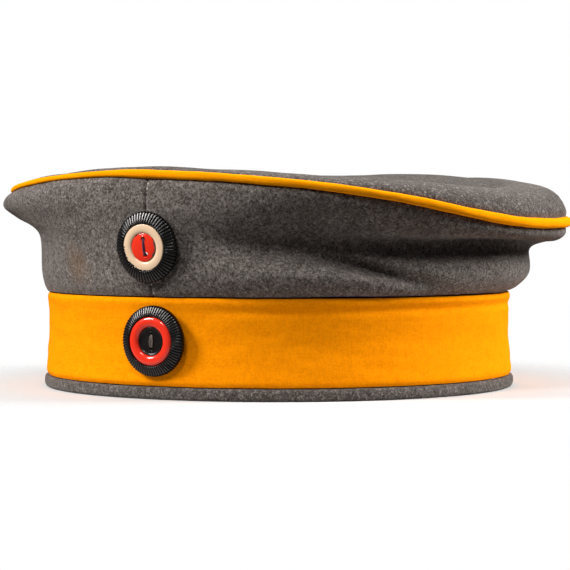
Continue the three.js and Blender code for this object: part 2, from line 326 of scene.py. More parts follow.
@dataclass(frozen=True)
class YellowClothFinish:
    """Smooth yellow-orange wool cloth with a close short nap."""

    name: str = "yellow_cloth"
    body: tuple = (0.98, 0.300, 0.0010)
    shade: tuple = (0.79, 0.212, 0.0007)
    fleck: tuple = (1.0, 0.37, 0.002)
    fine_scale: float = 1250.0
    soft_scale: float = 260.0
    drift_scale: float = 36.0
    weft_scale: tuple = (260.0, 260.0, 1500.0)
    warp_scale: tuple = (1200.0, 1200.0, 240.0)
    nap_depth: float = 0.28 * MM

    def make(self) -> bpy.types.Material:
        """Builds the material.

        Returns:
            The material.
        """
        r = Recipe(self.name)
        place = r.place()
        nap = fibre_field(r, place)
        fine = r.grain(place, self.fine_scale, 2.0, 0.65)
        soft = r.grain(place, self.soft_scale, 3.0, 0.6, 0.6)
        drift = r.grain(place, self.drift_scale, 2.0)
        weft = r.grain(r.stretched(place, self.weft_scale), 1.0, 1.0, 0.5, 0.3)
        warp = r.grain(r.stretched(place, self.warp_scale), 1.0, 1.0, 0.5, 0.3)
        weave = (weft + warp) * 0.5
        colour = r.blend((fine * 0.7 + soft * 0.3).over(0.56, 0.38) * 0.6, self.body, self.shade)
        colour = r.blend(weave.over(0.54, 0.38) * 0.36, colour, self.shade)
        colour = r.blend(nap.over(0.6, 0.85) * 0.25, colour, self.fleck)
        colour = r.blend(drift.over(0.3, 0.75) * 0.14, colour, (0.9, 0.8, 0.7), "MULTIPLY")
        height = soft * 0.5 + fine * 0.25 + nap * 0.2 + weave * 0.6
        normal = r.relief(height, self.nap_depth, 0.7)
        return r.finish({
            "Base Color": colour, "Roughness": 0.88, "Normal": normal,
            "Specular IOR Level": 0.01, "Sheen Weight": 0.02, "Sheen Roughness": 0.5,
            "Sheen Tint": (1.0, 0.45, 0.05, 1.0),
        })


@dataclass(frozen=True)
class LacquerFinish:
    """Old glossy lacquer on pressed metal, chipped along one side of its edge."""

    name: str
    body: tuple
    under: tuple = (0.018, 0.016, 0.016)
    rough: float = 0.2
    grime: float = 0.25
    shine: float = 0.35
    coat: float = 0.4
    dust: tuple = (0.20, 0.17, 0.15)
    edge: float = 8.4 * MM
    chip_side: tuple = (0.0, 0.0, 0.0)
    chip_deep: float = 0.9 * MM
    chip_ragged: float = 2.2 * MM
    # A pale spot that stands in for a glint: painted highlight.
    painted_glint_spot: tuple | None = None
    painted_glint_edge: tuple = (0.62 * MM, 0.4 * MM)
    painted_glint_white: tuple = (0.9, 0.9, 0.9)
    ribs: int = 0
    rib_edge: tuple = (13.0 * MM, 12.4 * MM)
    bare_metal: tuple = (0.075, 0.07, 0.068)

    def make(self) -> bpy.types.Material:
        """Builds the material.

        Returns:
            The material.
        """
        r = Recipe(self.name)
        place = r.place()
        flat = r.vector("MULTIPLY", r.own("local"), (1.0, 1.0, 0.0))
        reach = r.vector("LENGTH", flat, out="Value")
        mottle = r.grain(place, 420.0, 3.0, 0.6)
        speck = r.grain(place, 2600.0, 2.0, 0.6)
        bite = r.grain(place, 1500.0, 2.0, 0.55)
        grime = (speck * 0.6 + mottle * 0.4).over(0.52, 0.72) * self.grime
        side = r.vector("DOT_PRODUCT", r.vector("NORMALIZE", flat), self.chip_side, out="Value")
        ragged = (bite - 0.5) * self.chip_ragged
        room = side.over(0.35, 0.95) * self.chip_deep + ragged - 0.25 * MM
        gone = (reach + room).over(self.edge, self.edge + 0.08 * MM)
        colour = r.blend(grime, self.body, self.dust)
        colour = r.blend(gone, colour, self.under)
        # Painted highlight: a small pale spot beside the low sewing hole stands in for a glint
        # there.
        if self.painted_glint_spot:
            off = r.vector("DISTANCE", flat, self.painted_glint_spot, out="Value")
            painted_glint_share = (off + (bite - 0.5) * (0.5 * MM)).over(*self.painted_glint_edge)
            colour = r.blend(painted_glint_share, colour, self.painted_glint_white)
        rough = mottle * 0.14 + (self.rough - 0.07) + grime * 0.6 + gone * 0.5
        metal: Wire | float = 0.0
        if self.ribs:
            parts = r.node("ShaderNodeSeparateXYZ", {}, {0: flat})
            turn = r.math("ARCTAN2", parts["X"], parts["Y"]) * (self.ribs / 2)
            crest = r.math("ABSOLUTE", r.math("COSINE", turn)).over(0.74, 0.96)
            metal = crest * mottle.over(0.25, 0.5) * reach.over(*self.rib_edge)
            colour = r.blend(metal, colour, self.bare_metal)
            rough = rough + metal * 0.14
        normal = r.relief(mottle * 0.25 - gone, 0.12 * MM, 0.7)
        return r.finish({
            "Base Color": colour, "Roughness": rough, "Normal": normal, "Metallic": metal,
            "Specular IOR Level": self.shine, "Coat Weight": self.coat, "Coat Roughness": 0.06,
        })


@dataclass(frozen=True)
class ThreadFinish:
    """Twisted sewing thread."""

    name: str
    body: tuple
    ply_scale: tuple = (5200.0, 5200.0, 1400.0)

    def make(self) -> bpy.types.Material:
        """Builds the material.

        Returns:
            The material.
        """
        r = Recipe(self.name)
        place = r.place()
        ply = r.grain(r.stretched(place, self.ply_scale, (0.5, 0.0, 0.0)), 1.0, 2.0)
        colour = r.blend(ply.over(0.4, 0.7) * 0.6, self.body, tuple(2.2 * c for c in self.body))
        return r.finish({
            "Base Color": colour, "Roughness": 0.8, "Normal": r.relief(ply, 0.1 * MM, 0.8),
            "Sheen Weight": 0.2,
        })


@dataclass(frozen=True)
class FloorFinish:
    """A plain pale studio floor that fades out to white away from the cap."""

    name: str = "pale_floor"
    body: tuple = (0.62, 0.61, 0.60)
    full: float = 0.085
    gone: float = 0.19

    def make(self) -> bpy.types.Material:
        """Builds the material.

        Returns:
            The material.
        """
        r = Recipe(self.name)
        place = r.place()
        haze = r.grain(place, 3.0, 2.0)
        colour = r.blend(haze * 0.1, self.body, (0.7, 0.7, 0.7))
        away = r.vector("LENGTH", place, out="Value")
        return r.finish({
            "Base Color": colour, "Roughness": 0.8, "Specular IOR Level": 0.1,
            "Alpha": away.over(self.gone, self.full)})


def fibre_field(recipe: Recipe, place: Wire) -> Wire:
    """Thin crossing fibres: the strongest of a few noises, each stretched its own way.

    Args:
        recipe: The recipe that adds the nodes.
        place: The coordinates.

    Returns:
        The fibres' height, about 0 to 1.
    """
    scale = (3400.0, 3400.0, 620.0)
    turns = ((0.4, 0.9, 0.2), (-0.7, 0.3, 1.3), (1.2, -0.5, 2.2), (0.1, 1.4, -0.8))
    first, *others = (
        recipe.grain(recipe.stretched(place, scale, turn), 1.0, 1.0, 0.5, 0.4) for turn in turns)
    highest = first
    for strand in others:
        highest = recipe.math("MAXIMUM", highest, strand)
    return highest


# Bench work


class Bench:
    """The modelling moves that the pieces share."""

    @staticmethod
    def clear() -> None:
        """Leaves edit mode and deselects everything."""
        if bpy.context.object and bpy.context.object.mode != "OBJECT":
            bpy.ops.object.mode_set(mode="OBJECT")
        bpy.ops.object.select_all(action="DESELECT")

    @staticmethod
    def hold(obj: bpy.types.Object) -> None:
        """Makes one object the only selected and the active one.

        Args:
            obj: The object.
        """
        Bench.clear()
        obj.select_set(True)
        bpy.context.view_layer.objects.active = obj

    @staticmethod
    @contextmanager
    def editing(obj: bpy.types.Object, choice: str = "SELECT") -> Iterator[bmesh.types.BMesh]:
        """Edit mode on one piece, until the end of the with block.

        Args:
            obj: The piece.
            choice: Whether all of it is selected first, "SELECT", or none, "DESELECT".

        Yields:
            The mesh that is being edited.
        """
        Bench.hold(obj)
        bpy.ops.object.mode_set(mode="EDIT")
        bpy.ops.mesh.select_all(action=choice)
        yield bmesh.from_edit_mesh(obj.data)
        bpy.ops.object.mode_set(mode="OBJECT")

    @staticmethod
    def raise_wall(name: str, rows: np.ndarray, ending: Ending) -> bpy.types.Object:
        """Draws a circle of points and raises it ring by ring into a wall.

        Args:
            name: The piece's name.
            rows: The rings' points, an array of rings by points by x, y and z.
            ending: How the wall is closed.

        Returns:
            The wall, in object mode.
        """
        Bench.clear()
        bpy.ops.mesh.primitive_circle_add(vertices=rows.shape[1], radius=0.1, fill_type="NOTHING")
        obj = bpy.context.object
        obj.name = obj.data.name = name
        with Bench.editing(obj) as work:
            ring = sorted(work.verts, key=lambda v: math.atan2(v.co.x, -v.co.y) % math.tau)
            for vertex, point in zip(ring, rows[0]):
                vertex.co = point
            for before, row in zip(rows[:-1], rows[1:]):
                step = {"value": (0.0, 0.0, 0.01)}
                bpy.ops.mesh.extrude_region_move(TRANSFORM_OT_translate=step)
                work = bmesh.from_edit_mesh(obj.data)
                places = kdtree.KDTree(len(before))
                for i, (x, y, _) in enumerate(before):
                    places.insert((x, y, 0.0), i)
                places.balance()
                for vertex in work.verts:
                    if vertex.select:
                        vertex.co = row[places.find((vertex.co.x, vertex.co.y, 0.0))[1]]
            bmesh.update_edit_mesh(obj.data)
            bpy.ops.mesh.select_all(action="SELECT")
            if ending is Ending.LOOP:
                bpy.ops.mesh.remove_doubles(threshold=JOINED)
            bpy.ops.mesh.normals_make_consistent(inside=False)
        return obj

    @staticmethod
    def close_hole(obj: bpy.types.Object, near: Sequence[float], reach: float) -> None:
        """Draws the points round a small hole together.

        Args:
            obj: The piece.
            near: The hole's middle.
            reach: How far from it the points lie at most.
        """
        middle = Vector(near)
        with Bench.editing(obj, "DESELECT") as work:
            for vertex in work.verts:
                vertex.select = (vertex.co - middle).length < reach
            work.select_flush(True)
            bpy.ops.mesh.merge(type="CENTER")

    @staticmethod
    def face_out(obj: bpy.types.Object, middle: Vector) -> None:
        """Turns an open wall's faces away from a point inside it.

        Args:
            obj: The wall.
            middle: The point.
        """
        outward = sum(p.normal.dot(p.center - middle) * p.area for p in obj.data.polygons)
        if outward < 0:
            with Bench.editing(obj):
                bpy.ops.mesh.flip_normals()

    @staticmethod
    def cut(obj: bpy.types.Object, point: Sequence[float], normal: Sequence[float]) -> None:
        """Cuts a wall by the plane at a point and keeps the side that the normal shows."""
        with Bench.editing(obj):
            bpy.ops.mesh.bisect(
                plane_co=point, plane_no=normal, clear_inner=True, threshold=JOINED)

    @staticmethod
    def apply(obj: bpy.types.Object, kind: str, settings: dict) -> None:
        """Adds a modifier and applies it.

        Args:
            obj: The piece.
            kind: The modifier's type.
            settings: Its properties.
        """
        Bench.hold(obj)
        modifier = obj.modifiers.new(kind.lower(), kind)
        for key, value in settings.items():
            setattr(modifier, key, value)
        bpy.ops.object.modifier_apply(modifier=modifier.name)

    @staticmethod
    def thicken(obj: bpy.types.Object, wall: float, finer: int) -> None:
        """Gives an open wall its thickness, rounds its cut edges and smooths it.

        Args:
            obj: The wall, facing outwards.
            wall: Its thickness.
            finer: How many times it is subdivided.
        """
        Bench.apply(obj, "SOLIDIFY", {"thickness": wall, "offset": -1.0, "use_even_offset": False})
        Bench.apply(obj, "BEVEL", {
            "width": EDGE_ROUNDING, "segments": 2, "limit_method": "ANGLE",
            "angle_limit": math.radians(60)})
        Bench.smooth(obj, finer)

    @staticmethod
    def strand(name: str, path: Sequence[Sequence[float]], radius: float) -> bpy.types.Object:
        """Draws a round cord along a path.

        Args:
            name: The piece's name.
            path: The points that it passes through.
            radius: Its radius.

        Returns:
            The cord, as a mesh with round sides and filled ends.
        """
        Bench.clear()
        bpy.ops.curve.primitive_bezier_curve_add()
        obj = bpy.context.object
        obj.name = name
        bpy.ops.object.mode_set(mode="EDIT")
        bpy.ops.curve.select_all(action="SELECT")
        bpy.ops.curve.subdivide(number_cuts=len(path) - 2)
        bpy.ops.object.mode_set(mode="OBJECT")
        for knot, point in zip(obj.data.splines[0].bezier_points, path):
            knot.co = point
            knot.handle_left_type = knot.handle_right_type = "AUTO"
        obj.data.bevel_depth = radius
        obj.data.bevel_resolution = 2
        obj.data.use_fill_caps = True
        obj.data.resolution_u = 4
        bpy.ops.object.convert(target="MESH")
        return bpy.context.object

    @staticmethod
    def join(name: str, pieces: Sequence[bpy.types.Object]) -> bpy.types.Object:
        """Joins pieces into one object.

        Args:
            name: The object's name.
            pieces: The pieces.

        Returns:
            The joined object.
        """
        Bench.clear()
        for piece in pieces:
            piece.select_set(True)
        bpy.context.view_layer.objects.active = pieces[0]
        bpy.ops.object.join()
        pieces[0].name = pieces[0].data.name = name
        return pieces[0]

    @staticmethod
    def smooth(obj: bpy.types.Object, finer: int) -> None:
        """Subdivides a piece and shades it smooth.

        Args:
            obj: The piece.
            finer: How many times it is subdivided, or 0.
        """
        if finer:
            Bench.apply(obj, "SUBSURF", {"levels": finer, "render_levels": finer})
        Bench.hold(obj)
        bpy.ops.object.shade_smooth()

    @staticmethod
    def dress(obj: bpy.types.Object, material: bpy.types.Material) -> None:
        """Gives a piece its only material."""
        obj.data.materials.clear()
        obj.data.materials.append(material)

    @staticmethod
    def stand_for(obj: bpy.types.Object, material: bpy.types.Material, slot: str,
                  node: str) -> None:
        """Dresses a piece, ties it to the cap's body and hides the node of the frame that it
        replaces.

        Args:
            obj: The piece.
            material: Its only material.
            slot: Its material slot; not used.
            node: The node of the frame that it replaces.
        """
        Bench.dress(obj, material)
        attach(obj, "root")
        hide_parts(node)
        LOG.info("%s: %d faces", obj.name, len(obj.data.polygons))


# The cap's plan


@dataclass(frozen=True)
class Fold:
    """A dent pressed into the crown's side."""

    angle: float
    up: float
    wide: float
    tall: float
    climb: float
    deep: float


@dataclass(frozen=True)
class Roll:
    """The puffed roll that hangs below the piping, and the hollow that it overhangs."""

    start: float = 32.0
    full: float = 58.0
    fading: float = 100.0
    end: float = 142.0
    level: float = 85.0
    slant: float = 0.14 * MM
    puff_drop: float = 8.0 * MM
    puff_reach: float = 4.2 * MM
    puff: float = 1.6 * MM
    hollow_drop: float = 17.6 * MM
    hollow_reach: float = 4.1 * MM
    hollow: float = 4.2 * MM
    hollow_fading: float = 82.0
    hollow_end: float = 124.0

    def lift(self, angles: np.ndarray, drop: np.ndarray) -> np.ndarray:
        """How far the cloth stands out of the plain outline.

        Args:
            angles: Degrees, one for each column.
            drop: The way down from the rim along the cloth, rows by columns.

        Returns:
            The lift, negative in the hollow.
        """
        rising = np.clip((angles - self.start) / (self.full - self.start), 0, 1)

        def share(fading: float, end: float) -> np.ndarray:
            """How much of the roll each column has, as it fades towards its end."""
            part = np.minimum(rising, np.clip((end - angles) / (end - fading), 0, 1))
            return (part * part * (3 - 2 * part))[None, :]

        drop = drop - self.slant * np.clip(self.level - angles, 0, self.level)[None, :]
        out = self.puff * np.exp(-(((drop - self.puff_drop) / self.puff_reach) ** 2))
        back = self.hollow * np.exp(-(((drop - self.hollow_drop) / self.hollow_reach) ** 2))
        return (share(self.fading, self.end) * out
                - share(self.hollow_fading, self.hollow_end) * back)


@dataclass(frozen=True)
class CapPlan:
    """The sizes that the cap's cloth pieces share, and the outline that its crown follows."""

    middle: Vector = field(default_factory=lambda: band_middle())
    band_foot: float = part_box("band")[0][2]
    band_top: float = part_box("band")[1][2]
    waist_radius: float = 91.1 * MM
    band_flare: float = 2.0 * MM
    neck_flare: float = 0.7
    overhang: float = 22.0 * MM
    rise: float = 45.0 * MM
    crest_reach: float = 0.86
    field_reach: float = 0.5
    centre_lift: float = 1.01
    swell_lift: float = 0.16
    cloth: float = 2.0 * MM
    piping_radius: float = 1.8 * MM
    piping_sunk: float = 0.3 * MM
    fine_steps: int = 24
    columns: tuple = (
        "swell_out", "waist_out", "waist_up", "under_out", "under_up", "lobe_out", "lobe_up",
        "rim_out", "rim_up", "brow_out", "brow_up", "crest_up", "field_up")
    sections: tuple = (
        (0.08, 0.13, 0.38, 0.16, 0.55, 0.20, 0.76, 0.13, 0.98, -0.08, 1.04, 1.05, 1.04),
        (0.16, 0.15, 0.38, 0.24, 0.55, 0.38, 0.74, 0.35, 0.92, 0.18, 0.98, 1.01, 0.99),
        (0.22, 0.25, 0.39, 0.47, 0.52, 0.71, 0.62, 0.73, 0.74, 0.60, 0.87, 0.95, 0.94),
        (0.27, 0.32, 0.40, 0.65, 0.49, 0.92, 0.53, 0.95, 0.61, 0.83, 0.81, 0.93, 0.92),
        (0.32, 0.36, 0.36, 0.66, 0.445, 0.95, 0.51, 1.00, 0.62, 0.83, 0.86, 0.98, 0.95),
        (0.24, 0.30, 0.40, 0.60, 0.50, 0.89, 0.59, 0.93, 0.72, 0.79, 0.91, 1.05, 1.00),
        (0.17, 0.24, 0.45, 0.51, 0.57, 0.82, 0.69, 0.83, 0.83, 0.66, 1.00, 1.10, 1.05),
        (0.12, 0.19, 0.49, 0.46, 0.62, 0.78, 0.77, 0.75, 0.92, 0.55, 1.05, 1.11, 1.07),
        (0.09, 0.17, 0.51, 0.46, 0.65, 0.77, 0.80, 0.68, 0.95, 0.46, 1.06, 1.11, 1.07),
        (0.07, 0.15, 0.52, 0.52, 0.645, 0.80, 0.785, 0.65, 0.94, 0.44, 1.02, 1.07, 1.05),
        (0.07, 0.15, 0.53, 0.55, 0.65, 0.81, 0.775, 0.62, 0.91, 0.39, 0.97, 1.03, 1.03),
        (0.07, 0.14, 0.46, 0.28, 0.61, 0.45, 0.80, 0.35, 0.97, 0.12, 1.03, 1.06, 1.04))
    folds: tuple = (
        Fold(34, 0.40, 13.5, 0.10, -0.002, 0.32),
        Fold(51.5, 0.222, 7.5, 0.042, -0.008, 0.37),
        Fold(47, 0.56, 13, 0.12, -0.002, 0.28),
        Fold(76, 0.42, 15, 0.06, 0.0, 0.10),
        Fold(118, 0.42, 22, 0.05, 0.0, 0.06))
    rim_index: int = 5
    rim_trims: tuple = (
        (-90, -0.8), (-60, -0.8), (-45, -0.4), (-30, 0.17), (-25, 0.58), (-15, 0.97), (-8, 1.29),
        (0, 1.01), (10, 0.75), (20, 0.6), (28, 0.4), (36, 0.84), (44, 1.23), (54, 1.42),
        (60, 0.91), (64, 0.25), (69, -0.23), (73, -0.5), (79, -0.87), (86, -0.57), (94, -0.1),
        (104, 0.35), (130, 0.0), (180, -0.6), (230, -0.8), (270, -0.8))
    crest_trims: tuple = (
        (-90, -1.0), (-50, -1.25), (-35, -1.25), (-24, -1.1), (-16, -0.5), (-10, 0.33), (-4, 0.6),
        (2, 0.7), (12, 0.6), (33, 0.25), (45, 0.4), (54, 0.9), (65, 0.5), (74, 0.0), (85, -0.6),
        (100, -0.3), (118, 0.0), (130, -0.4), (141, -0.95), (151, -1.3), (165, -0.9), (179, -1.4),
        (190, -2.1), (210, -1.8), (240, -1.2), (270, -1.0))
    piping_widths: tuple = (
        (-90, 0.66), (-30, 0.63), (-25, 0.6), (-15, 0.68), (-8, 0.8), (0, 1.0), (10, 0.93),
        (28, 0.88), (44, 0.89), (56, 0.94), (66, 1.02), (79, 1.1), (94, 1.16), (106, 1.2),
        (150, 1.0), (200, 0.9), (270, 0.66))

    @staticmethod
    def between(stations: tuple, angles: np.ndarray) -> np.ndarray:
        """A value for each angle, between the stations' values and softened.

        Args:
            stations: Pairs of an angle in degrees and a value, over one whole turn.
            angles: Degrees from the front towards the wearer's left.

        Returns:
            The values.
        """
        wide = np.arange(-3, 4) * 1.5
        weights = np.exp(-((wide / 3.0) ** 2))
        at, values = np.array(stations).T
        found = np.interp((angles[:, None] + wide + 90) % 360 - 90, at, values)
        return found @ (weights / weights.sum())

    def piping_reach(self, angles: np.ndarray) -> np.ndarray:
        """The piping's radius at each angle."""
        return self.piping_radius * self.between(self.piping_widths, angles)

    @property
    def neck_radius(self) -> float:
        """The outside of the crown where it meets the band."""
        return self.waist_radius + self.band_flare * self.neck_flare

    def column(self, name: str, angles: np.ndarray) -> np.ndarray:
        """One column of the sections at any angles, smooth all the way round.

        Args:
            name: The column's name.
            angles: Degrees from the front towards the wearer's left.

        Returns:
            The column's shares at the angles.
        """
        shares = np.array(self.sections)[:, self.columns.index(name)]
        count = len(shares)
        place = (np.asarray(angles) / 360 * count) % count
        row = np.floor(place).astype(int)
        before, start, end, after = (shares[(row + k) % count] for k in (-1, 0, 1, 2))
        t = place - row
        leave, arrive = (end - before) / 2, (after - start) / 2
        return ((2 * t**3 - 3 * t**2 + 1) * start + (t**3 - 2 * t**2 + t) * leave
                + (-2 * t**3 + 3 * t**2) * end + (t**3 - t**2) * arrive)

    def controls(self, angles: np.ndarray) -> np.ndarray:
        """The outline's control points at each angle, as radius and height.

        Args:
            angles: Degrees from the front towards the wearer's left.

        Returns:
            An array of angles by points by radius and height.
        """
        rim_trim = self.between(self.rim_trims, angles) * MM / self.rise
        crest_trim = self.between(self.crest_trims, angles) * MM / self.rise
        trims = {"lobe_up": rim_trim, "rim_up": rim_trim, "brow_up": (rim_trim + crest_trim) / 2,
                 "crest_up": crest_trim, "field_up": 0.7 * crest_trim}

        def at(name: str) -> np.ndarray:
            """A column of the sections with its trim."""
            return self.column(name, angles) + trims.get(name, 0.0)

        def point(out: np.ndarray, up: np.ndarray) -> np.ndarray:
            """Points at shares of the overhang and of the rise."""
            radius = self.neck_radius + out * self.overhang
            return np.stack([radius, self.band_top + up * self.rise + 0 * radius], axis=-1)

        rim = point(at("rim_out"), at("rim_up"))

        def inward(share: float, up: np.ndarray | float) -> np.ndarray:
            """Points at a share of the rim's radius and of the rise."""
            return np.stack(
                [rim[:, 0] * share, self.band_top + up * self.rise + 0 * rim[:, 0]], axis=-1)

        zero = 0 * at("rim_out")
        return np.stack([
            point(zero, zero + 0.0003 / self.rise),
            point(at("swell_out"), zero + self.swell_lift),
            point(at("waist_out"), at("waist_up")),
            point(at("under_out"), at("under_up")),
            point(at("lobe_out"), at("lobe_up")),
            rim,
            point(at("brow_out"), at("brow_up")),
            inward(self.crest_reach, at("crest_up")),
            inward(self.field_reach, at("field_up")),
            inward(0.0, self.centre_lift)], axis=1)

    def outline(self, angles: np.ndarray) -> tuple[np.ndarray, np.ndarray, np.ndarray]:
        """The outline as many fine points, with its length so far and the rim's length.

        Args:
            angles: Degrees from the front towards the wearer's left.

        Returns:
            The points (angles by steps by radius and height), their lengths, and the length at
            which each angle's rim lies.
        """
        p = self.controls(angles)
        first, last = 2 * p[:, :1] - p[:, 1:2], 2 * p[:, -1:] - p[:, -2:-1]
        p = np.concatenate([first, p, last], axis=1)
        t = np.arange(self.fine_steps)[None, :, None] / self.fine_steps
        parts = []
        for i in range(1, p.shape[1] - 2):
            x0, x1, x2, x3 = (p[:, i + k][:, None] for k in (-1, 0, 1, 2))
            d0, d1, d2 = (np.linalg.norm(b - a, axis=2, keepdims=True) ** 0.5
                          for a, b in ((x0, x1), (x1, x2), (x2, x3)))
            leave = d1 * ((x1 - x0) / d0 - (x2 - x0) / (d0 + d1) + (x2 - x1) / d1)
            arrive = d1 * ((x2 - x1) / d1 - (x3 - x1) / (d1 + d2) + (x3 - x2) / d2)
            parts.append(x1 + leave * t + (3 * (x2 - x1) - 2 * leave - arrive) * t**2
                         + (2 * (x1 - x2) + leave + arrive) * t**3)
        fine = np.concatenate([*parts, p[:, -2:-1]], axis=1)
        steps = np.linalg.norm(np.diff(fine, axis=1), axis=2)
        lengths = np.concatenate([np.zeros((len(fine), 1)), np.cumsum(steps, axis=1)], axis=1)
        return fine, lengths, lengths[:, self.rim_index * self.fine_steps]

    def fold_depth(self, angles: np.ndarray, heights: np.ndarray) -> np.ndarray:
        """How far the folds press the side in.

        Args:
            angles: Degrees, one for each column.
            heights: Heights above the floor, rows by columns.

        Returns:
            The depths, rows by columns.
        """
        up = (heights - self.band_top) / self.rise
        total = np.zeros_like(up)
        for fold in self.folds:
            aside = turn_from(fold.angle, angles)
            middle = fold.up + fold.climb * aside
            away = (aside / fold.wide) ** 2 + ((up - middle) / fold.tall) ** 2
            total += fold.deep * self.overhang * np.exp(-away / 2)
        return total

    def along(self, angles: np.ndarray, lengths: np.ndarray) -> tuple[np.ndarray, np.ndarray]:
        """Points of the outline at given lengths, and its outward normals there.

        Args:
            angles: Degrees, one for each column.
            lengths: The lengths wanted, rows by columns.

        Returns:
            Radius and height (rows by columns by 2), and the normals likewise.
        """
        fine, measured, _ = self.outline(angles)
        points = np.empty((*lengths.shape, 2))
        ahead = np.empty_like(points)
        small = 0.0002
        for j in range(len(angles)):
            for k in (0, 1):
                points[:, j, k] = np.interp(lengths[:, j], measured[j], fine[j, :, k])
                after = np.interp(lengths[:, j] + small, measured[j], fine[j, :, k])
                back = np.interp(lengths[:, j] - small, measured[j], fine[j, :, k])
                ahead[:, j, k] = after - back
        normals = np.stack([ahead[..., 1], -ahead[..., 0]], axis=-1)
        normals /= np.linalg.norm(normals, axis=-1, keepdims=True) + 1e-12
        return points, normals

    def round(self, angles: np.ndarray, points: np.ndarray) -> np.ndarray:
        """Turns radii and heights into places round the cap's middle.

        Args:
            angles: Degrees, one for each column.
            points: Radius and height, rows by columns by 2.

        Returns:
            The places, rows by columns by 3.
        """
        turn = np.radians(angles)[None, :]
        x = self.middle.x + points[..., 0] * np.sin(turn)
        y = self.middle.y - points[..., 0] * np.cos(turn)
        return np.stack([x, y, points[..., 1]], axis=-1)

    @staticmethod
    def turn_steps(coarse: float, fine: float, seam_reach: float) -> np.ndarray:
        """Angles all the way round from 0, closer together beside the front and back seams.

        Args:
            coarse: The usual step in degrees.
            fine: The step beside a seam.
            seam_reach: How far from a seam the fine steps go, in degrees.

        Returns:
            The angles, rising from 0.
        """
        near = np.arange(0, seam_reach, fine)
        far = np.linspace(seam_reach, 90, round((90 - seam_reach) / coarse) + 1)
        quarter = np.concatenate([near, far])
        half = np.concatenate([quarter, 180 - quarter[::-1][1:]])
        return np.concatenate([half, 180 + half[1:-1]])


def band_middle() -> Vector:
    """The middle of the band's box, at floor level."""
    low, high = (Vector(corner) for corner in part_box("band"))
    return Vector(((low.x + high.x) / 2, (low.y + high.y) / 2, 0.0))


def turn_from(middle: float, angles: np.ndarray) -> np.ndarray:
    """The turn from a middle angle to each angle, -180 to 180 degrees."""
    return (angles - middle + 180) % 360 - 180


def close_ends(inner: np.ndarray, first: float) -> np.ndarray:
    """Shares from 0 to 1 with close rows at both ends, where a cloth's edge is turned."""
    return np.concatenate([[0.0, first, 2.4 * first], inner, [1 - 2.4 * first, 1 - first, 1.0]])


@dataclass(frozen=True)
class Swelling:
    """Smooth random unevenness: the size of a swelling, the pattern's seed and its height."""

    size: float
    seed: float
    high: float
    squash: float = 1.0


def unevenness(places: np.ndarray, swellings: Sequence[Swelling]) -> np.ndarray:
    """How far the cloth swells at each place, all swellings together.

    Args:
        places: The places, any shape by 3.
        swellings: The swellings, smaller in height than along the cloth where squashed.

    Returns:
        The heights, in the unit of the swellings' heights.
    """
    total = np.zeros(places.shape[:-1])
    for swelling in swellings:
        flat = (places * (1.0, 1.0, swelling.squash)).reshape(-1, 3) / swelling.size
        values = np.array([noise.noise(Vector(point)) for point in flat + swelling.seed])
        total += swelling.high * values.reshape(total.shape)
    return total


# The cloth pieces


